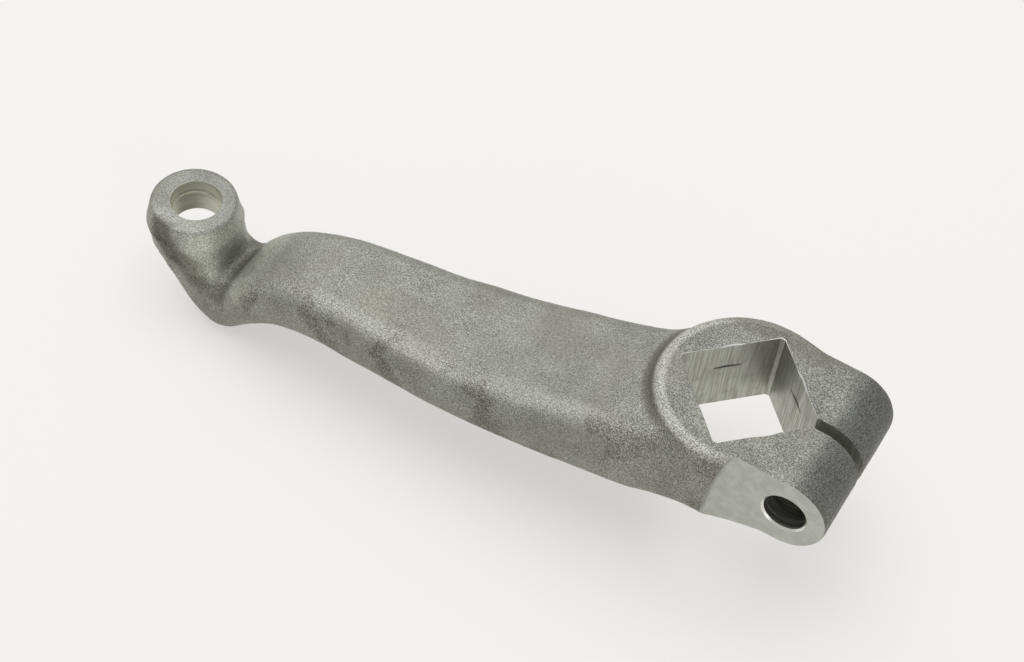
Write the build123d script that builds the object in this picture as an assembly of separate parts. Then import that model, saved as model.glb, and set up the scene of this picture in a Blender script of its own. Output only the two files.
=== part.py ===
from build123d import *
import os

# Steering arm: one steel forging with a split square socket at one end and a tie-rod eye at the other.
# Frame: origin on the socket axis at the seat under the head, +Z up, +X from the socket through the clamp
# slot, +Y along the pinch bolt away from its visible seat. The eye lies on the -X side.

# Square socket, and the round pilot that just breaks into its flats at the mouth
socket_across_flats = 40.0
socket_corner_flat = 1.2
pilot_clearance = 0.3
pilot_depth = 12.5
pilot_countersink = 0.65

# Head: a round boss round the socket, with a machined seat under it
head_height = 34.5
boss_rim_radius = 34.7
boss_bulge = 1.8
boss_edge_radius = 4.0
seat_radius = 28.8
seat_centre_y = 2.0

# Clamp lugs, slot and pinch bolt hole; near is the -Y side, where the bolt's head sits
slot_width = 4.5
lug_end_x = 47.6
lug_top_step = 0.4
lug_bottom = 0.3
lug_near_stock = 3.0
lug_far_stock = 1.5
lug_edge_radius = 5.0
lug_near_face = 29.0
lug_far_face = 32.0
bolt_axis_x = 31.4
bolt_axis_z = 17.1
bolt_hole_diameter = 16.5
bolt_hole_chamfer = 0.7
nut_spot_radius = 14.5

# Face cutter that machines the near seat of the pinch bolt
cutter_radius = 35.6
cutter_centre_x = 37.0
cutter_centre_z = 6.5

# Tie-rod eye: its bore, and the forged ring round it, which sits slightly off the bore
eye_x = -225.3
eye_y = -23.2
eye_ring_shift_x = -0.8
eye_ring_shift_y = -0.3
eye_top_z = 11.8
eye_height = 18.9
eye_face_radius = 16.9
eye_bulge = 2.0
eye_edge_radius = 1.5
eye_bore_diameter = 19.0
eye_land_step = 0.5
eye_land_depth = 6.3
eye_bore_chamfer = 0.4
nut_seat_radius = 13.0

# Arm from the side: x and z along its top, first measured down from the head's top, then along the blade,
# then over the fold and up the neck with x measured from the eye's axis
top_under_head = [(26, -4.5), (8, -3.2), (-8, -3), (-36, -6), (-64, -14)]
top_of_blade = [(-100, 12.5), (-140, 12)]
top_by_eye = [(59.3, 10.5), (41.3, 5), (29.3, -3), (20.8, -11.8), (14.8, -5), (13.3, 4)]

# and along its underside, from below the eye round the knee, then on to the head
underside_by_eye = [(-15.7, -7.5), (-3.7, -20), (5.3, -30.8), (12.3, -35.2), (19.3, -37.2), (26.3, -34.8),
                    (38.3, -24), (50.3, -16), (67.3, -11.6)]
underside_by_head = [(-140, -10.9), (-100, -8.8), (-64, -6.8), (-36, -5.8), (-6, -6.8), (4, -7.6),
                     (13, -4.4), (26, 0.5)]

# The same arm from above: x and y along its near and far edges, by the eye measured from the eye's axis
near_edge_by_head = [(26, -32.5), (12, -34), (-1, -34.2), (-17, -37.5), (-40, -42.3), (-70, -45),
                     (-105, -46), (-140, -44.5)]
near_edge_by_eye = [(50.3, -19.8), (20.3, -19.3)]
far_edge_by_eye = [(17.3, 16.2), (28.3, 20.3), (38.3, 22), (50.3, 23.4)]
far_edge_by_head = [(-140, 5), (-105, 11.3), (-70, 15.3), (-52, 16.8), (-40, 18.6), (-33, 23.2),
                    (-27, 27.6), (-18, 28), (24, 14)]
arm_end_inset = 0.2
arm_edge_radius = 8.0

# Fillet where the top of the arm runs into the boss
head_blend_radius = 3.0

# More than the arm's width and height
beyond_the_arm = 120.0

pilot_radius = socket_across_flats / 2 + pilot_clearance
boss_waist_radius = boss_rim_radius + boss_bulge
lug_top = head_height - lug_top_step
lug_near_raw = lug_near_face + lug_near_stock
lug_far_raw = lug_far_face + lug_far_stock
eye_ring_x = eye_x + eye_ring_shift_x
eye_ring_y = eye_y + eye_ring_shift_y
eye_waist_radius = eye_face_radius + eye_bulge
arm_end_radius = eye_face_radius - arm_end_inset


def from_the_eye(points, level):
    """Points that are measured from the eye's axis, and from the level, in the part's frame."""
    return [(eye_x + along, level + away) for along, away in points]


def arm_from_the_side():
    """The arm's side outline, carried across its whole width."""
    by_head = [(along, head_height + down) for along, down in top_under_head]
    top = Spline(*by_head, *top_of_blade, *from_the_eye(top_by_eye, 0))
    underside = Spline(*from_the_eye(underside_by_eye, 0), *underside_by_head)
    outline = top + Line(top @ 1, underside @ 0) + underside + Line(underside @ 1, top @ 0)
    side = make_face(Plane.XZ * outline)
    return extrude(Pos(0, beyond_the_arm, 0) * side, beyond_the_arm * 2)


def arm_from_above():
    """The arm's outline from above, ending round under the eye."""
    near_end = (eye_ring_x, eye_ring_y - arm_end_radius)
    far_end = (eye_ring_x, eye_ring_y + arm_end_radius)
    near = Spline(*near_edge_by_head, *from_the_eye(near_edge_by_eye, eye_y), near_end)
    far = Spline(far_end, *from_the_eye(far_edge_by_eye, eye_y), *far_edge_by_head)
    end = ThreePointArc(near_end, (eye_ring_x - arm_end_radius, eye_ring_y), far_end)
    outline = near + end + far + Line(far @ 1, near @ 0)
    return extrude(Pos(0, 0, -beyond_the_arm) * make_face(outline), beyond_the_arm * 2)


def arm():
    """The cranked arm: both outlines crossed, then rounded along its four long edges."""
    bar = arm_from_the_side() & arm_from_above()
    long_edges = bar.edges().filter_by(lambda edge: edge.length > abs(eye_x) * 0.8)
    return fillet(long_edges, arm_edge_radius)


def boss():
    """The round boss of the head, drafted both ways from its waist."""
    waist_z = head_height / 2
    profile = Polyline(
        (0, 0),
        (boss_rim_radius, 0),
        (boss_waist_radius, waist_z),
        (boss_rim_radius, head_height),
        (0, head_height),
        close=True,
    )
    face = make_face(Plane.XZ * profile)
    rim = face.vertices().filter_by(lambda v: abs(v.X - boss_rim_radius) < 0.1)
    return revolve(fillet(rim, boss_edge_radius), Axis.Z)


def lugs():
    """The clamp lugs: all but flush with the boss, half round at their end, before their seats are milled."""
    radius = (lug_top - lug_bottom) / 2
    straight = lug_end_x - radius
    width = lug_near_raw + lug_far_raw
    rounded = Rot(90, 0, 0) * Cylinder(radius, width)
    body = rounded + Pos(-straight / 2, 0, 0) * Box(straight, width, radius * 2)
    sides = body.faces().filter_by(Axis.Y)
    body = fillet(sides.edges().filter_by(lambda e: e.center().X > 1 - straight), lug_edge_radius)
    return Pos(straight, (lug_far_raw - lug_near_raw) / 2, lug_bottom + radius) * body


def eye():
    """The round eye, drafted both ways from its waist."""
    half = eye_height / 2
    profile = Polyline(
        (0, -half),
        (eye_face_radius, -half),
        (eye_waist_radius, 0),
        (eye_face_radius, half),
        (0, half),
        close=True,
    )
    face = make_face(Plane.XZ * profile)
    rim = face.vertices().filter_by(lambda v: abs(v.X - eye_face_radius) < 0.1)
    solid = revolve(fillet(rim, eye_edge_radius), Axis.Z)
    return Pos(eye_ring_x, eye_ring_y, eye_top_z - half) * solid


def square_socket():
    """The broached square, with its corners on X and Y, and the countersunk pilot at its mouth."""
    square = chamfer(Rectangle(socket_across_flats, socket_across_flats).vertices(), socket_corner_flat)
    broach = extrude(Rot(0, 0, 45) * square, head_height * 2, both=True)
    pilot = Cylinder(pilot_radius, pilot_depth * 2)
    mouth_depth = pilot_countersink * 2
    mouth = Cone(pilot_radius, pilot_radius + mouth_depth, mouth_depth)
    return broach + Pos(0, 0, head_height) * (pilot + mouth)


def head_seat():
    """What is faced off under the head, where the arm's root stands lower than the boss."""
    return Pos(0, seat_centre_y, -head_height / 2) * Cylinder(seat_radius, head_height)


def clamp_slot():
    """The saw cut from the socket's corner through the end of the lugs."""
    return Pos(lug_end_x, 0, 0) * Box(lug_end_x * 2, slot_width, head_height * 4)


def pinch_bolt_hole():
    """The cross hole for the pinch bolt, chamfered at both seats."""
    radius = bolt_hole_diameter / 2
    depth = bolt_hole_chamfer * 2
    mouth = Cone(radius, radius + depth, depth)
    hole = Cylinder(radius, (lug_near_raw + lug_far_raw) * 2)
    hole += Pos(0, 0, lug_near_face) * mouth
    hole += Rot(180, 0, 0) * Pos(0, 0, lug_far_face) * mouth
    return Pos(bolt_axis_x, 0, bolt_axis_z) * Rot(90, 0, 0) * hole


def near_seat():
    """What the face cutter takes off beside the near lug, running out into the head."""
    disc = Rot(90, 0, 0) * Cylinder(cutter_radius, cutter_radius)
    return Pos(cutter_centre_x, -lug_near_face - cutter_radius / 2, cutter_centre_z) * disc


def far_seat():
    """The spot face for the pinch bolt's nut."""
    disc = Rot(90, 0, 0) * Cylinder(nut_spot_radius, nut_spot_radius)
    return Pos(bolt_axis_x, lug_far_face + nut_spot_radius / 2, bolt_axis_z) * disc


def eye_bore():
    """The tie-rod bore, with a wider land at its top, chamfered mouths and a seat for the nut below."""
    bore_radius = eye_bore_diameter / 2
    land_radius = bore_radius + eye_land_step
    half = eye_height / 2
    mouth_depth = eye_bore_chamfer * 2
    cut = Cylinder(bore_radius, eye_height * 3)
    cut += Pos(0, 0, half) * Cylinder(land_radius, eye_land_depth * 2)
    cut += Pos(0, 0, half) * Cone(land_radius, land_radius + mouth_depth, mouth_depth)
    cut += Pos(0, 0, -half) * Cone(bore_radius + mouth_depth, bore_radius, mouth_depth)
    cut += Pos(0, 0, -half - eye_height) * Cylinder(nut_seat_radius, eye_height * 2)
    return Pos(eye_x, eye_y, eye_top_z - half) * cut


def joins_the_head(edge):
    """Whether the edge is one where the top of the arm runs into the boss."""
    middle = edge.center()
    beside_the_boss = -boss_waist_radius < middle.X < -boss_edge_radius
    return beside_the_boss and middle.Z > bolt_axis_z and edge.geom_type == GeomType.BSPLINE


raw = boss() + lugs() + arm() + eye()
forging = fillet(raw.edges().filter_by(joins_the_head), head_blend_radius)
milled = forging - near_seat() - far_seat() - head_seat()
finished = milled - square_socket() - clamp_slot() - pinch_bolt_hole() - eye_bore()

os.makedirs("parts", exist_ok=True)
export_step(finished, "parts/forged_arm.step")
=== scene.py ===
import math

import bmesh
import bpy
import numpy as np
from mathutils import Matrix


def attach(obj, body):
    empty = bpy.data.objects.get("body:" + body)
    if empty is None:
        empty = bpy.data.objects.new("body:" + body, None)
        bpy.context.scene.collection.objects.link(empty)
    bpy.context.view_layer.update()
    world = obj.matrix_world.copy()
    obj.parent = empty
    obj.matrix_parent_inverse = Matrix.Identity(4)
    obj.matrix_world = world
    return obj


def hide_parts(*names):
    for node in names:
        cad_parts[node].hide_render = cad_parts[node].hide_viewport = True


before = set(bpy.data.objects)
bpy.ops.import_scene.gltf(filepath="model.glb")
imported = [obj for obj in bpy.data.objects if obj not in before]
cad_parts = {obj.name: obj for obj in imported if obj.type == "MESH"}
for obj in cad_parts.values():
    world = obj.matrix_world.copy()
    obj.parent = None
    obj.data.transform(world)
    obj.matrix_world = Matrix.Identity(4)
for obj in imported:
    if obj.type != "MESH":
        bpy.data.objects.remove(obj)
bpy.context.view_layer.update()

import openvdb
from mathutils import Matrix, Vector

# Sizes in millimetres, in the part's frame: origin on the socket axis at the seat under the head, +Z up
MM = 0.001
UP = (0, 0, 1)
ALONG_BOLT = (0, 1, 0)

# Head
socket_across_flats = 40.0
socket_corner_flat = 1.2
pilot_radius = 20.3
pilot_depth = 12.5
pilot_countersink = 0.65
pilot_lead = 3.0
pilot_lead_step = 1.0
socket_burr = 0.25
head_height = 34.5
boss_rim_radius = 34.7
boss_waist_radius = 36.5
boss_edge_radius = 4.0
seat_radius = 28.8
seat_centre_y = 2.0

# Clamp lugs
slot_width = 4.5
slot_start_x = 5.0
bolt_axis_x = 31.4
bolt_axis_z = 17.1
bolt_hole_diameter = 16.5
bolt_hole_chamfer = 0.7
lug_end_x = 47.6
lug_bottom = 0.3
lug_near_raw = 32.0
lug_far_raw = 33.5
lug_near_edge_radius = 4.8
lug_far_edge_radius = 6.3
lug_near_face = 29.0
lug_far_face = 32.0
nut_spot_radius = 14.5
cutter_radius = 115.0
cutter_centre_x = 118.2
cutter_centre_z = 3.0
cutter_corner = 2.5
cutter_sides = 480

# Eye
eye_x = -225.3
eye_y = -23.2
eye_top_z = 11.8
eye_height = 18.9
eye_ring_x = -226.1
eye_ring_y = -23.5
eye_face_radius = 16.9
eye_waist_radius = 18.9
eye_edge_radius = 1.5
eye_bore_radius = 9.5
eye_land_radius = 10.0
eye_land_depth = 6.3
eye_bore_chamfer = 0.4
eye_mouth_chamfer = 3.2
nut_seat_radius = 13.0
eye_relief_shift = (-4.0, 8.0)

# Arm from the side: x and z along its top, and along its underside from the eye to the head
arm_top = [(26, 30), (8, 31.3), (-8, 31.5), (-36, 28.5), (-64, 20.5), (-100, 12.5), (-140, 12), (-166, 10.5),
           (-184, 5), (-194, -0.9), (-199.3, -6.2), (-202.9, -10.3), (-206.6, -10), (-210, -5), (-212.5, 2)]
arm_underside = [(-241, -7.5), (-229, -20), (-220, -30.8), (-213, -35.2), (-206, -37.2), (-199, -34.8),
                 (-193, -29.3), (-187, -24), (-175, -16), (-158, -11.6), (-140, -10.9), (-120, -9.6),
                 (-100, -8.8), (-64, -6.8), (-36, -5.8), (-6, -6.8), (4, -7.6), (13, -4.4), (26, 0.5)]

# Where the blade's top ends in x; beyond it the parting line keeps to the blade's height
arm_blade_end = -199.5

# Arm from above: x and y along its near edge, and along its far edge
arm_near_edge = [(26, -32.5), (12, -34), (-1, -34.2), (-9, -35.5), (-17, -37.5), (-26, -40.2), (-40, -42.3),
                 (-70, -45), (-105, -46), (-140, -44.5), (-175, -43), (-205, -42.5)]
arm_far_edge = [(-208, -7), (-203, -4.6), (-197, -2.9), (-187, -1.2), (-175, 0.2), (-158, 2.6), (-140, 5),
                (-122, 7.6), (-105, 11.3), (-70, 15.3), (-52, 16.8), (-40, 18.6), (-33, 23.2), (-27, 27.6),
                (-19, 31.5), (24, 14)]
arm_end_radius = 16.7

# The broad slanting face on the neck's near side, and the plane above the blade's end where that face stops
neck_face_point = (-219.5, -43.2, 0.0)
neck_face_normal = (0.55, -0.72, 0.42)
neck_face_foot = (-206.0, -12.5)
neck_face_rise = 45.0
neck_face_edge = 5.0
neck_face_blend = 7.0
arm_edge_radius = 8.0
arm_draft = math.tan(math.radians(6))

# How softly the forging's parts run into each other
head_blend = 2.0
arm_blend = 4.0
eye_blend = 7.0

# Waves of the shot-blasted skin, each as its height and the size of its cells in voxels, and how far the skin
# lies under the construction's surface on average
skin_waves = [(0.09, 20), (0.05, 6), (0.06, 1.7)]
skin_allowance = 0.15

# Cutters run on past the faces they leave by this, by half of it or by a multiple of it
clear = 10.0

# Sampling of the forging's solid, and the distance that stands for all that is far outside it
voxel = 0.6
outside = 3.0
grid_low = (-252.0, -56.0, -44.0)
grid_high = (56.0, 44.0, 42.0)


def curve_through(points, steps=12):
    """A smooth line through the points, as an array: Catmull-Rom, with its ends run straight on."""
    p = np.array(points, float)
    p = np.vstack([2 * p[0] - p[1], p, 2 * p[-1] - p[-2]])
    t = np.linspace(0, 1, steps, endpoint=False)[:, None]
    spans = []
    for a, b, c, d in zip(p[:-3], p[1:-2], p[2:-1], p[3:]):
        bend = (2 * a - 5 * b + 4 * c - d) * t ** 2
        swing = (3 * b - a - 3 * c + d) * t ** 3
        spans.append(0.5 * (2 * b + (c - a) * t + bend + swing))
    return np.vstack(spans + [p[-2:-1]])


def arc(centre, radius, start, end, steps=24):
    """Points on an arc, angles in degrees."""
    angles = np.radians(np.linspace(start, end, steps))
    return np.c_[centre[0] + radius * np.cos(angles), centre[1] + radius * np.sin(angles)]


def distance_to_outline(u, v, outline):
    """Signed distance on a grid of u by v to a closed outline, negative inside."""
    gu, gv = np.meshgrid(u, v, indexing="ij")
    nearest = np.full(gu.shape, 1e9)
    inside = np.zeros(gu.shape, bool)
    for (u0, v0), (u1, v1) in zip(outline, np.roll(outline, -1, axis=0)):
        du, dv = u1 - u0, v1 - v0
        length = du * du + dv * dv
        if length < 1e-12:
            continue
        along = np.clip(((gu - u0) * du + (gv - v0) * dv) / length, 0, 1)
        nearest = np.minimum(nearest, (gu - u0 - along * du) ** 2 + (gv - v0 - along * dv) ** 2)
        if dv != 0:
            crosses = (v0 > gv) != (v1 > gv)
            inside ^= crosses & (gu < u0 + (gv - v0) * du / dv)
    return np.where(inside, -1, 1) * np.sqrt(nearest)


def rounded_both(a, b, radius):
    """Where both distances are negative, with the edge between them rounded."""
    a = a + radius
    b = b + radius
    return np.minimum(np.maximum(a, b), 0) + np.hypot(np.maximum(a, 0), np.maximum(b, 0)) - radius


def blended(a, b, width):
    """Both solids as one, with a fillet of about the width where they meet."""
    near = np.maximum(width - np.abs(a - b), 0) / width
    return np.minimum(a, b) - near ** 2 * width / 4


def drafted_disc(radial, height, waist, face, half_height, edge):
    """A round boss, widest at its middle: radial and height are measured from its centre."""
    slope = (waist - face) / half_height
    side = (radial - waist + np.abs(height) * slope) / math.hypot(1, slope)
    return rounded_both(side, np.abs(height) - half_height, edge)


def axis_points(low, high):
    return np.arange(low, high, voxel)


def arm_solid(x, y, z):
    """The cranked arm: its two outlines crossed, drafted from the parting line and rounded."""
    top = curve_through(arm_top)
    underside = curve_through(arm_underside)
    side = distance_to_outline(x, z, np.vstack([top, underside]))
    near = curve_through(arm_near_edge + [(eye_ring_x, eye_ring_y - arm_end_radius)])
    end = arc((eye_ring_x, eye_ring_y), arm_end_radius, 270, 90)
    far = curve_through([(eye_ring_x, eye_ring_y + arm_end_radius)] + arm_far_edge)
    above = distance_to_outline(x, y, np.vstack([near, end, far]))
    upper = np.interp(np.maximum(x, arm_blade_end), top[::-1, 0], top[::-1, 1])
    lower = np.interp(x, underside[:, 0], underside[:, 1])
    middle = ((upper + lower) / 2)[:, None, None]
    walls = above[:, :, None] + np.abs(z[None, None, :] - middle) * arm_draft
    bar = rounded_both(side[:, None, :], walls, arm_edge_radius)
    gx, gy, gz = x[:, None, None], y[None, :, None], z[None, None, :]
    px, py, pz = neck_face_point
    nx, ny, nz = neck_face_normal
    beyond_face = (gx - px) * nx + (gy - py) * ny + (gz - pz) * nz
    rise = math.radians(neck_face_rise)
    above_blade = (gz - neck_face_foot[1]) * math.cos(rise) - (gx - neck_face_foot[0]) * math.sin(rise)
    return rounded_both(bar, blended(beyond_face, above_blade, neck_face_blend), neck_face_edge)


def lug_solid(x, y, z):
    """The clamp lugs before machining: a half-round end about the pinch bolt."""
    radius = (head_height - lug_bottom) / 2
    dx = np.maximum(x[:, None] - (lug_end_x - radius), 0)
    profile = np.hypot(dx, z[None, :] - lug_bottom - radius) - radius
    profile = np.maximum(profile, -x[:, None])[:, None, :]
    middle = (lug_far_raw - lug_near_raw) / 2
    half = (lug_far_raw + lug_near_raw) / 2
    width = (np.abs(y - middle) - half)[None, :, None]
    edge = np.where(y < middle, lug_near_edge_radius, lug_far_edge_radius)[None, :, None]
    return rounded_both(profile, width, edge)


def ripple(shape, cell, seed):
    """Smooth noise over the grid, about -1 to 1: random values a cell of voxels apart, joined softly."""
    rng = np.random.default_rng(seed)
    coarse = rng.uniform(-1, 1, [int(n / cell) + 3 for n in shape]).astype(np.float32)
    for axis, n in enumerate(shape):
        place = np.arange(n) / cell
        low = place.astype(int)
        part = place - low
        part = part * part * (3 - 2 * part)
        part = part.reshape([-1 if k == axis else 1 for k in range(3)]).astype(np.float32)
        coarse = np.take(coarse, low, axis) * (1 - part) + np.take(coarse, low + 1, axis) * part
    return coarse


def forging_mesh():
    """The raw forging as one closed mesh: arm, head and eye run together, under a shot-blasted skin."""
    x, y, z = (axis_points(low, high) for low, high in zip(grid_low, grid_high))
    gx, gy, gz = x[:, None, None], y[None, :, None], z[None, None, :]
    half = head_height / 2
    boss = drafted_disc(np.hypot(gx, gy), gz - half, boss_waist_radius, boss_rim_radius, half, boss_edge_radius)
    solid = blended(boss, lug_solid(x, y, z), head_blend)
    solid = blended(solid, arm_solid(x, y, z), arm_blend)
    eye_half = eye_height / 2
    from_eye = np.hypot(gx - eye_ring_x, gy - eye_ring_y)
    above_eye = gz - eye_top_z + eye_half
    eye = drafted_disc(from_eye, above_eye, eye_waist_radius, eye_face_radius, eye_half, eye_edge_radius)
    solid = blended(solid, eye, eye_blend)
    solid = np.maximum(solid, gz - head_height).astype(np.float32)
    ripples = [size * ripple(solid.shape, cell, seed) for seed, (size, cell) in enumerate(skin_waves, 1)]
    solid += skin_allowance + ripples[0] + ripples[1] + ripples[2]
    grid = openvdb.FloatGrid(outside)
    grid.copyFromArray(solid)
    points, quads = grid.convertToQuads(0.0)
    points = (points * voxel + np.array(grid_low)) * MM
    mesh = bpy.data.meshes.new("forged_arm_skin")
    mesh.from_pydata(points.tolist(), [], quads.tolist())
    mesh.update()
    return mesh


def new_object(name, mesh):
    thing = bpy.data.objects.new(name, mesh)
    bpy.context.scene.collection.objects.link(thing)
    return thing


def lofted(name, rings):
    """A closed mesh through rings of points, in millimetres."""
    bm = bmesh.new()
    rows = [[bm.verts.new(Vector(p) * MM) for p in ring] for ring in rings]
    count = len(rows[0])
    for lower, upper in zip(rows, rows[1:]):
        for k in range(count):
            bm.faces.new((lower[k], lower[(k + 1) % count], upper[(k + 1) % count], upper[k]))
    bm.faces.new(rows[0][::-1])
    bm.faces.new(rows[-1])
    bmesh.ops.recalc_face_normals(bm, faces=bm.faces)
    mesh = bpy.data.meshes.new(name)
    bm.to_mesh(mesh)
    bm.free()
    return new_object(name, mesh)


def turned(name, centre, direction, profile, sides=96):
    """A round cutter: profile is height along the direction and radius there."""
    turn = Vector((0, 0, 1)).rotation_difference(Vector(direction)).to_matrix()
    rings = []
    for height, radius in profile:
        ring = []
        for k in range(sides):
            angle = 2 * math.pi * k / sides
            point = Vector((radius * math.cos(angle), radius * math.sin(angle), height))
            ring.append(Vector(centre) + turn @ point)
        rings.append(ring)
    return lofted(name, rings)


def square_ring(across, corner, z):
    """The socket's outline at one height: a square on its corner, with small corner flats."""
    half = across / 2
    inner = half - corner
    loop = [(half, -inner), (half, inner), (inner, half), (-inner, half),
            (-half, inner), (-half, -inner), (-inner, -half), (inner, -half)]
    turn = Matrix.Rotation(math.radians(45), 3, "Z")
    return [turn @ Vector((u, v, z)) for u, v in loop]


def head_cutters():
    """The socket with its burred rim, the pilot at its mouth and the seat under the head."""
    above = head_height + clear
    rim = 2 * socket_burr
    sizes = [(-clear, 0), (0, 0), (head_height - socket_burr, 0),
             (head_height + socket_burr, rim), (above, rim)]
    rings = [square_ring(socket_across_flats + 2 * grow, socket_corner_flat, z) for z, grow in sizes]
    socket = lofted("cut_socket", rings)
    pilot_end = head_height - pilot_depth
    pilot_profile = [(pilot_end - pilot_lead, pilot_radius - pilot_lead_step),
                     (pilot_end, pilot_radius),
                     (head_height - pilot_countersink, pilot_radius),
                     (above, pilot_radius + pilot_countersink + clear)]
    pilot = turned("cut_pilot", (0, 0, 0), UP, pilot_profile)
    seat = turned("cut_head_seat", (0, seat_centre_y, 0), UP, [(-2 * clear, seat_radius), (0, seat_radius)])
    return socket, pilot, seat


def clamp_cutters():
    """Both seats of the pinch bolt, the slot between the lugs and the hole through them."""
    corner_middle = cutter_corner * 0.4
    near_profile = [(0, cutter_radius - cutter_corner), (corner_middle, cutter_radius - corner_middle),
                    (cutter_corner, cutter_radius), (2.5 * clear, cutter_radius)]
    near_centre = (cutter_centre_x, -lug_near_face, cutter_centre_z)
    near_seat = turned("cut_near_seat", near_centre, (0, -1, 0), near_profile, cutter_sides)
    far_profile = [(0, nut_spot_radius), (2 * clear, nut_spot_radius)]
    far_seat = turned("cut_far_seat", (bolt_axis_x, lug_far_face, bolt_axis_z), ALONG_BOLT, far_profile)
    length = lug_end_x + clear
    half = slot_width / 2
    low, high = -2 * clear, 5 * clear
    corners = [(slot_start_x, -half), (length, -half), (length, half), (slot_start_x, half)]
    slot = lofted("cut_slot", [[(u, v, z) for u, v in corners] for z in (low, high)])
    radius = bolt_hole_diameter / 2
    bevel = bolt_hole_chamfer
    run_on = clear / 2
    wide = radius + bevel + run_on
    hole_profile = [(-lug_near_face - run_on, wide), (-lug_near_face + bevel, radius),
                    (lug_far_face - bevel, radius), (lug_far_face + run_on, wide)]
    bolt_hole = turned("cut_bolt_hole", (bolt_axis_x, 0, bolt_axis_z), ALONG_BOLT, hole_profile)
    return near_seat, far_seat, slot, bolt_hole


def eye_cutters():
    """The eye's bore with its land, countersink and nut seat, and the relief beside that seat."""
    low = eye_top_z - eye_height
    land_end = eye_top_z - eye_land_depth
    below = low - 3 * clear
    run_on = clear / 2
    bore_profile = [(below, nut_seat_radius), (low, nut_seat_radius),
                    (low, eye_bore_radius + eye_mouth_chamfer), (low + eye_mouth_chamfer, eye_bore_radius),
                    (land_end, eye_bore_radius), (land_end, eye_land_radius),
                    (eye_top_z - eye_bore_chamfer, eye_land_radius),
                    (eye_top_z + run_on, eye_land_radius + eye_bore_chamfer + run_on)]
    eye_bore = turned("cut_eye_bore", (eye_x, eye_y, 0), UP, bore_profile)
    shift_x, shift_y = eye_relief_shift
    relief_profile = [(below, nut_seat_radius), (low, nut_seat_radius)]
    eye_relief = turned("cut_eye_relief", (eye_x + shift_x, eye_y + shift_y, 0), UP, relief_profile)
    return eye_bore, eye_relief


def cutters(skin):
    """Everything that is taken out of the forging; the walls under the eye keep the skin's finish."""
    socket, pilot, seat = head_cutters()
    near_seat, far_seat, slot, bolt_hole = clamp_cutters()
    eye_bore, eye_relief = eye_cutters()
    milled = milled_material()
    broached = broached_material()
    bored = bored_material("bored_steel", (0.72, 0.72, 0.62), (0.50, 0.50, 0.42), (0.05, 0.05, 1))
    # Painted shade: a darker copy of the bored steel for the bolt hole, which lies in shade.
    shaded_bored = bored_material("bored_steel_painted_shade", (0.34, 0.34, 0.29), (0.14, 0.14, 0.12), (0.05, 1, 0.05))
    # Sawn steel for the slot, made darker partly as painted shade in the narrow slot.
    sawn_with_painted_shade = bored_material("sawn_steel_painted_shade", (0.36, 0.365, 0.32), (0.25, 0.255, 0.22), (1, 0.05, 0.1))
    finishes = [(socket, broached), (pilot, broached), (seat, milled), (near_seat, milled), (far_seat, milled),
                (slot, sawn_with_painted_shade), (bolt_hole, shaded_bored), (eye_bore, bored), (eye_relief, skin)]
    for tool, finish in finishes:
        tool.data.materials.append(finish)
    # Painted highlight: bright, glossy steel for the chamfers.
    bevel_highlight = plain_material("bevelled_steel_painted_highlight", (0.80, 0.80, 0.75), 0.28, 0.7)
    for tool, direction in ((socket, UP), (pilot, UP), (bolt_hole, ALONG_BOLT)):
        paint_bevel_highlights(tool, direction, bevel_highlight)
    eye_bore.data.materials.append(skin)
    nut_seat_z = (eye_top_z - eye_height) * MM
    for polygon in eye_bore.data.polygons:
        if polygon.center.z < nut_seat_z - MM:
            polygon.material_index = 1
    return [tool for tool, finish in finishes]


def paint_bevel_highlights(tool, direction, finish):
    """Gives the tool's slanting faces, which leave the chamfers, a bright finish of their own: a painted
    highlight along the chamfers.
    """
    tool.data.materials.append(finish)
    for polygon in tool.data.polygons:
        slant = abs(polygon.normal.dot(Vector(direction)))
        if 0.4 < slant < 0.95:
            polygon.material_index = 1


def cut_away(body, tools):
    """Takes each tool out of the body and removes the tool."""
    for tool in tools:
        step = body.modifiers.new(tool.name, "BOOLEAN")
        step.operation = "DIFFERENCE"
        step.solver = "MANIFOLD"
        step.material_mode = "TRANSFER"
        step.object = tool
    graph = bpy.context.evaluated_depsgraph_get()
    done = bpy.data.meshes.new_from_object(body.evaluated_get(graph))
    body.modifiers.clear()
    body.data = done
    for tool in tools:
        bpy.data.objects.remove(tool)


def set_input(node, name, value):
    node.inputs[name].default_value = value


def plain_material(name, colour, roughness, metallic=0.0):
    material = bpy.data.materials.new(name)
    material.use_nodes = True
    shader = material.node_tree.nodes["Principled BSDF"]
    set_input(shader, "Base Color", (*colour, 1))
    set_input(shader, "Roughness", roughness)
    set_input(shader, "Metallic", metallic)
    return material


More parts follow.
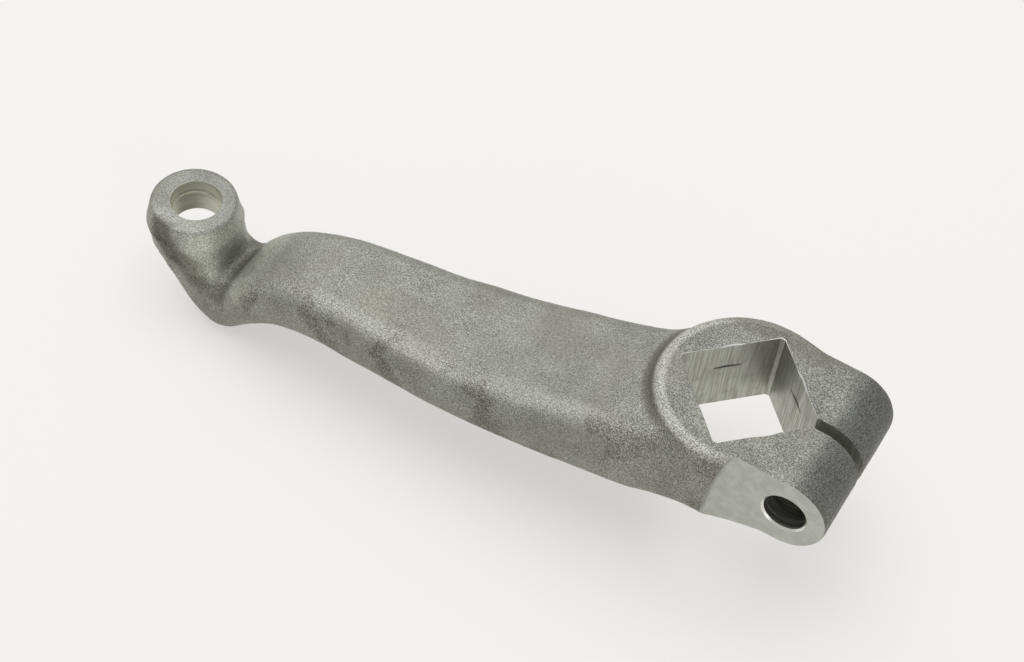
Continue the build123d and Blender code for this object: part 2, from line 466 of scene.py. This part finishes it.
class Recipe:
    """A procedural material, built up a node at a time in millimetres of the part's frame."""

    def __init__(self, name, metallic):
        self.material = plain_material(name, (0.3, 0.3, 0.3), 0.5, metallic)
        self.tree = self.material.node_tree
        self.shader = self.tree.nodes["Principled BSDF"]
        place = self.tree.nodes.new("ShaderNodeTexCoord")
        self.place = self.stretched(place.outputs["Object"], (1 / MM, 1 / MM, 1 / MM))

    def plug(self, node, name, value):
        """Sets an input to a value, or joins another node's output to it."""
        if isinstance(value, bpy.types.NodeSocket):
            self.tree.links.new(value, node.inputs[name])
        else:
            set_input(node, name, value)

    def stretched(self, vector, scale):
        node = self.tree.nodes.new("ShaderNodeMapping")
        self.plug(node, "Vector", vector)
        self.plug(node, "Scale", scale)
        return node.outputs["Vector"]

    def noise(self, scale, detail=2.0, roughness=0.5, stretch=(1, 1, 1)):
        """Noise from 0 to 1; scale is features to the millimetre."""
        node = self.tree.nodes.new("ShaderNodeTexNoise")
        self.plug(node, "Vector", self.stretched(self.place, stretch))
        self.plug(node, "Scale", scale)
        self.plug(node, "Detail", detail)
        self.plug(node, "Roughness", roughness)
        return node.outputs["Fac"]

    def maths(self, operation, first, second=0.0):
        node = self.tree.nodes.new("ShaderNodeMath")
        node.operation = operation
        self.plug(node, 0, first)
        self.plug(node, 1, second)
        return node.outputs["Value"]

    def times(self, first, second):
        return self.maths("MULTIPLY", first, second)

    def between(self, value, low, high, to_low=0.0, to_high=1.0):
        """A smooth step of the value from low to high."""
        node = self.tree.nodes.new("ShaderNodeMapRange")
        node.interpolation_type = "SMOOTHSTEP"
        self.plug(node, "Value", value)
        for name, number in (("From Min", low), ("From Max", high), ("To Min", to_low), ("To Max", to_high)):
            self.plug(node, name, number)
        return node.outputs["Result"]

    def mixed(self, factor, first, second, blend="MIX"):
        node = self.tree.nodes.new("ShaderNodeMixRGB")
        node.blend_type = blend
        for name, value in (("Fac", factor), ("Color1", first), ("Color2", second)):
            self.plug(node, name, (*value, 1) if isinstance(value, tuple) else value)
        return node.outputs["Color"]

    def tinted(self, factor, colour, tint):
        """The colour, multiplied by the tint as far as the factor says."""
        return self.mixed(factor, colour, self.mixed(1.0, colour, tint, "MULTIPLY"))

    def axis(self, name):
        node = self.tree.nodes.new("ShaderNodeSeparateXYZ")
        self.plug(node, "Vector", self.place)
        return node.outputs[name]

    def length(self, first, second):
        """The length of a line with these two parts at right angles."""
        squares = self.maths("ADD", self.times(first, first), self.times(second, second))
        return self.maths("POWER", squares, 0.5)

    def from_axis(self):
        """Distance from the socket's axis."""
        return self.length(self.axis("X"), self.axis("Y"))

    def from_neck_face(self):
        """Distance outwards from the neck's slanting face."""
        terms = [self.times(self.axis(name), part) for name, part in zip("XYZ", neck_face_normal)]
        along = self.maths("ADD", self.maths("ADD", terms[0], terms[1]), terms[2])
        return self.maths("SUBTRACT", along, Vector(neck_face_point).dot(Vector(neck_face_normal)))

    def all_of(self, *factors):
        """The factors multiplied together."""
        product = factors[0]
        for factor in factors[1:]:
            product = self.times(product, factor)
        return product

    def finish(self, colour, roughness, height, depth):
        """Joins colour, roughness and a bump of the given depth in millimetres to the shader."""
        bump = self.tree.nodes.new("ShaderNodeBump")
        self.plug(bump, "Height", height)
        self.plug(bump, "Distance", depth * MM)
        self.plug(bump, "Strength", 1.0)
        self.plug(self.shader, "Normal", bump.outputs["Normal"])
        self.plug(self.shader, "Base Color", colour)
        self.plug(self.shader, "Roughness", roughness)
        return self.material


def grainy_skin(make, grain, on_head):
    """Even grey with fine grain and faint clouds, warmer patches, and dark stains by the near edge."""
    cloud = make.between(make.noise(0.06, 3.0, 0.55), 0.35, 0.65)
    colour = make.mixed(cloud, (0.235, 0.238, 0.213), (0.285, 0.292, 0.258))
    contrast = make.maths("ADD", 1.0, make.times(on_head, 0.35))
    speck = make.maths("POWER", make.between(grain, 0.32, 0.68, 0.62, 1.42), contrast)
    colour = make.mixed(1.0, colour, make.mixed(1.0, (1, 1, 1), speck, "MULTIPLY"), "MULTIPLY")
    warm = make.between(make.noise(0.035, 3.0, 0.5), 0.48, 0.66, 0.0, 0.35)
    colour = make.mixed(warm, colour, (0.265, 0.240, 0.195))
    patch = make.between(make.noise(0.05, 2.0, 0.5), 0.52, 0.60)
    by_near_edge = make.between(make.axis("Y"), -28.0, -39.0)
    pits = make.between(grain, 0.62, 0.40, 0.25, 1.0)
    stain = make.all_of(patch, by_near_edge, pits)
    return make.mixed(make.times(stain, 0.75), colour, (0.075, 0.062, 0.046))


def head_wear_and_painted_light(make, colour, painted_glint):
    """Painted shade and scale in the groove round the boss, scale on its far side, painted glints on its rim, a
    painted highlight on the blade's ridge and painted shade on the lug's end.
    """
    x, y, z, radius = make.axis("X"), make.axis("Y"), make.axis("Z"), make.from_axis()
    beside_boss = make.between(x, 16.0, -4.0)
    # Painted shade with some scale: a dark ring in the groove where the blade runs into the boss.
    groove_shade_and_scale = make.all_of(make.between(radius, 33.8, 35.2), make.between(radius, 39.5, 36.8),
                         make.between(z, 14.0, 20.0), make.between(y, -34.0, -26.0), beside_boss)
    colour = make.mixed(make.times(groove_shade_and_scale, 0.7), colour, (0.11, 0.10, 0.08))
    # Painted highlight: bright glints on the boss's rounded rim beside the blade.
    boss_rim_highlight = make.all_of(make.between(radius, 29.5, 31.5), make.between(radius, 35.0, 33.6),
                           make.between(z, 28.0, 31.0), beside_boss, painted_glint)
    colour = make.mixed(boss_rim_highlight, colour, (0.60, 0.60, 0.55))
    boss_far = make.all_of(make.between(y, 20.0, 28.0), make.between(radius, 40.0, 37.0),
                           make.between(x, 28.0, 14.0))
    colour = make.mixed(make.times(boss_far, 0.55), colour, (0.17, 0.15, 0.12))
    # Painted highlight along the blade's near ridge by the head.
    arm_ridge_highlight = make.all_of(make.between(y, -30.0, -35.0), make.between(y, -42.0, -39.0),
                            make.between(x, -15.0, -30.0), painted_glint)
    colour = make.mixed(make.times(arm_ridge_highlight, 0.5), colour, (0.50, 0.51, 0.46))
    # Painted shade: the lug's rounded end is darkened where it turns away from the light.
    lug_end_shade = make.all_of(make.between(x, 28.0, 37.0), make.between(z, 13.0, 23.0))
    return make.tinted(make.times(lug_end_shade, 0.8), colour, (0.42, 0.43, 0.44))


def neck_painted_shade_and_light(make, colour):
    """Painted shade down the neck's edge and along the fold, and painted light on both sides of the fold."""
    x, y, z, neck = make.axis("X"), make.axis("Y"), make.axis("Z"), make.from_neck_face()
    # Painted shade: a dark band down the neck's edge where it turns away from the light, and another along the
    # bottom of the fold; scale holds the share of this painted shade.
    edge = make.all_of(make.between(neck, -10.0, -6.0), make.between(neck, 0.0, -2.0),
                       make.between(y, -36.0, -40.0), make.between(z, -19.0, -12.0))
    fold_shade = make.all_of(make.between(x, -209.5, -206.0), make.between(x, -198.5, -202.5),
                       make.between(z, -1.0, -5.0), make.between(z, -20.0, -15.0))
    scale = make.maths("MAXIMUM", make.times(edge, 0.8), make.times(fold_shade, 0.65))
    colour = make.tinted(scale, colour, (0.36, 0.35, 0.32))
    # Painted light: the neck's inner wall above the fold is lightened as if lit.
    inside = make.all_of(make.between(x, -200.0, -205.0), make.between(x, -222.0, -216.0),
                         make.between(z, -13.5, -8.0), make.between(z, 12.0, 9.0))
    colour = make.tinted(make.times(inside, 0.8), colour, (1.6, 1.62, 1.56))
    # Painted light on the blade's slope as it runs down into the fold.
    slope = make.all_of(make.between(x, -202.5, -199.0), make.between(x, -186.0, -193.0),
                        make.between(z, -13.0, -9.0))
    return make.tinted(make.times(slope, 0.8), colour, (1.4, 1.42, 1.38))


def forged_material():
    """Shot-blasted forging skin, rougher and with more contrast on the head."""
    make = Recipe("forged_steel", 0.5)
    grain = make.noise(1.9, 2.0, 0.6)
    coarse = make.noise(0.8, 2.0, 0.5)
    on_head = make.between(make.axis("X"), -45.0, -28.0)
    colour = grainy_skin(make, grain, on_head)
    colour = head_wear_and_painted_light(make, colour, make.between(grain, 0.40, 0.62, 0.25, 1.0))
    colour = neck_painted_shade_and_light(make, colour)
    roughness = make.between(grain, 0.35, 0.65, 0.62, 0.44)
    height = make.maths("ADD", make.times(grain, 0.7), coarse)
    height = make.times(height, make.maths("ADD", 1.0, make.times(on_head, 0.7)))
    return make.finish(colour, roughness, height, 0.30)


def milled_material():
    """Face-milled steel: fine arcs about the cutter's centre over a bright even grey."""
    make = Recipe("milled_steel", 0.75)
    cloud = make.noise(0.25, 3.0, 0.6)
    fine = make.noise(2.5, 2.0, 0.6)
    colour = make.mixed(make.between(cloud, 0.3, 0.7), (0.42, 0.44, 0.395), (0.51, 0.53, 0.485))
    across = make.maths("SUBTRACT", make.axis("X"), cutter_centre_x)
    up = make.maths("SUBTRACT", make.axis("Z"), cutter_centre_z)
    arcs = make.maths("SINE", make.times(make.length(across, up), 7.0))
    height = make.maths("ADD", make.times(arcs, 0.3), fine)
    return make.finish(colour, make.between(fine, 0.3, 0.7, 0.34, 0.46), height, 0.03)


def broached_material():
    """Broached steel: streaks along the socket's axis, smudges, painted shade deep in the far corner, and
    painted shade at the step where the pilot ends.
    """
    make = Recipe("broached_steel", 0.75)
    streaks = make.noise(1.4, 3.0, 0.65, (1, 1, 0.04))
    smudge = make.noise(0.16, 3.0, 0.6)
    colour = make.mixed(make.between(streaks, 0.35, 0.65), (0.38, 0.38, 0.33), (0.58, 0.60, 0.53))
    colour = make.mixed(make.between(smudge, 0.5, 0.7, 0.0, 0.45), colour, (0.27, 0.27, 0.24))
    z = make.axis("Z")
    # Painted shade: darker deep in the socket's far corner.
    far_corner_shade = make.all_of(make.between(make.axis("Y"), 13.0, 24.0), make.between(z, 2.0, 16.0))
    colour = make.mixed(make.times(far_corner_shade, 0.6), colour, (0.21, 0.21, 0.18))
    # Painted shade: a dark line on the step where the pilot ends.
    pilot_end = make.all_of(make.between(make.from_axis(), 20.9, 20.5), make.between(z, 21.2, 21.6),
                            make.between(z, 22.6, 22.2))
    colour = make.mixed(pilot_end, colour, (0.10, 0.10, 0.09))
    return make.finish(colour, make.between(streaks, 0.3, 0.7, 0.42, 0.30), streaks, 0.10)


def bored_material(name, light, dark, along):
    """Turned steel: tool marks that run round a bore; along is the stretch that keeps only its axis."""
    make = Recipe(name, 0.7)
    rings = make.noise(0.9, 3.0, 0.7, along)
    colour = make.mixed(make.between(rings, 0.35, 0.65), dark, light)
    return make.finish(colour, make.between(rings, 0.3, 0.7, 0.32, 0.48), rings, 0.12)


# The object
arm = new_object("forged_arm_skin", forging_mesh())
forged = forged_material()
arm.data.materials.append(forged)
cut_away(arm, cutters(forged))
for polygon in arm.data.polygons:
    polygon.use_smooth = True
arm.data.set_sharp_from_angle(angle=math.radians(38))
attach(arm, "root")
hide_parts("forged_arm")


paper_steady_share = 0.55


def floor_material():
    """Pale paper; a share of it shows steadily to the camera and in reflections, so the shadow stays faint."""
    material = plain_material("floor_paper", (0.80, 0.785, 0.76), 0.9)
    tree = material.node_tree
    steady = tree.nodes.new("ShaderNodeEmission")
    set_input(steady, "Color", (0.922, 0.904, 0.871, 1))
    set_input(steady, "Strength", 1.0)
    path = tree.nodes.new("ShaderNodeLightPath")
    seen = tree.nodes.new("ShaderNodeMath")
    tree.links.new(path.outputs["Is Camera Ray"], seen.inputs[0])
    tree.links.new(path.outputs["Is Glossy Ray"], seen.inputs[1])
    also = tree.nodes.new("ShaderNodeMath")
    tree.links.new(seen.outputs["Value"], also.inputs[0])
    tree.links.new(path.outputs["Is Transmission Ray"], also.inputs[1])
    share = tree.nodes.new("ShaderNodeMath")
    share.operation = "MULTIPLY"
    tree.links.new(also.outputs["Value"], share.inputs[0])
    share.inputs[1].default_value = paper_steady_share
    mix = tree.nodes.new("ShaderNodeMixShader")
    tree.links.new(share.outputs["Value"], mix.inputs["Fac"])
    tree.links.new(tree.nodes["Principled BSDF"].outputs["BSDF"], mix.inputs[1])
    tree.links.new(steady.outputs["Emission"], mix.inputs[2])
    tree.links.new(mix.outputs["Shader"], tree.nodes["Material Output"].inputs["Surface"])
    return material


# Floor and light, in metres
floor_height = -0.036
floor_reach = 3.0
floor_corners = [(-1, -1), (1, -1), (1, 1), (-1, 1)]
floor_points = [(u * floor_reach, v * floor_reach, floor_height) for u, v in floor_corners]
floor_mesh = bpy.data.meshes.new("floor")
floor_mesh.from_pydata(floor_points, [], [(0, 1, 2, 3)])
floor = new_object("floor", floor_mesh)
floor.data.materials.append(floor_material())

world = bpy.data.worlds.new("studio")
bpy.context.scene.world = world
world.use_nodes = True
sky = world.node_tree.nodes["Background"]
set_input(sky, "Color", (0.95, 0.95, 0.94, 1))
set_input(sky, "Strength", 0.5)
lamp_aim = Vector((-0.1, 0, 0))


def soft_lamp(name, position, size, power):
    lamp = bpy.data.lights.new(name, "AREA")
    lamp.shape = "DISK"
    lamp.size = size
    lamp.energy = power
    thing = bpy.data.objects.new(name, lamp)
    bpy.context.scene.collection.objects.link(thing)
    thing.location = position
    thing.rotation_euler = (lamp_aim - Vector(position)).to_track_quat("-Z", "Y").to_euler()


soft_lamp("key", (-0.35, 0.2, 1.8), 2.2, 27)
soft_lamp("rim", (-1.2, 0.9, 0.8), 0.8, 2.5)
soft_lamp("fill", (1.1, -0.8, 0.4), 0.8, 2.5)

# Camera: aim point, and how it looks at it
camera_aim = Vector((-0.09528, -0.00078, 0.0))
camera_distance = 0.82908
camera_elevation = math.radians(51.712)
camera_heading = math.radians(-24.697)
camera_roll = math.radians(7.616)
camera_lens = 76.617


def add_camera():
    forward = Vector((math.sin(camera_heading) * math.cos(camera_elevation),
                      math.cos(camera_heading) * math.cos(camera_elevation), -math.sin(camera_elevation)))
    level = forward.cross(Vector((0, 0, 1))).normalized()
    upright = level.cross(forward)
    right = math.cos(camera_roll) * level + math.sin(camera_roll) * upright
    up = math.cos(camera_roll) * upright - math.sin(camera_roll) * level
    data = bpy.data.cameras.new("camera")
    data.sensor_width = 36.0
    data.lens = camera_lens
    camera = bpy.data.objects.new("camera", data)
    bpy.context.scene.collection.objects.link(camera)
    turn = Matrix((right, up, -forward)).transposed().to_4x4()
    camera.matrix_world = Matrix.Translation(camera_aim - forward * camera_distance) @ turn
    bpy.context.scene.camera = camera


add_camera()
bpy.context.scene.view_settings.view_transform = "Standard"
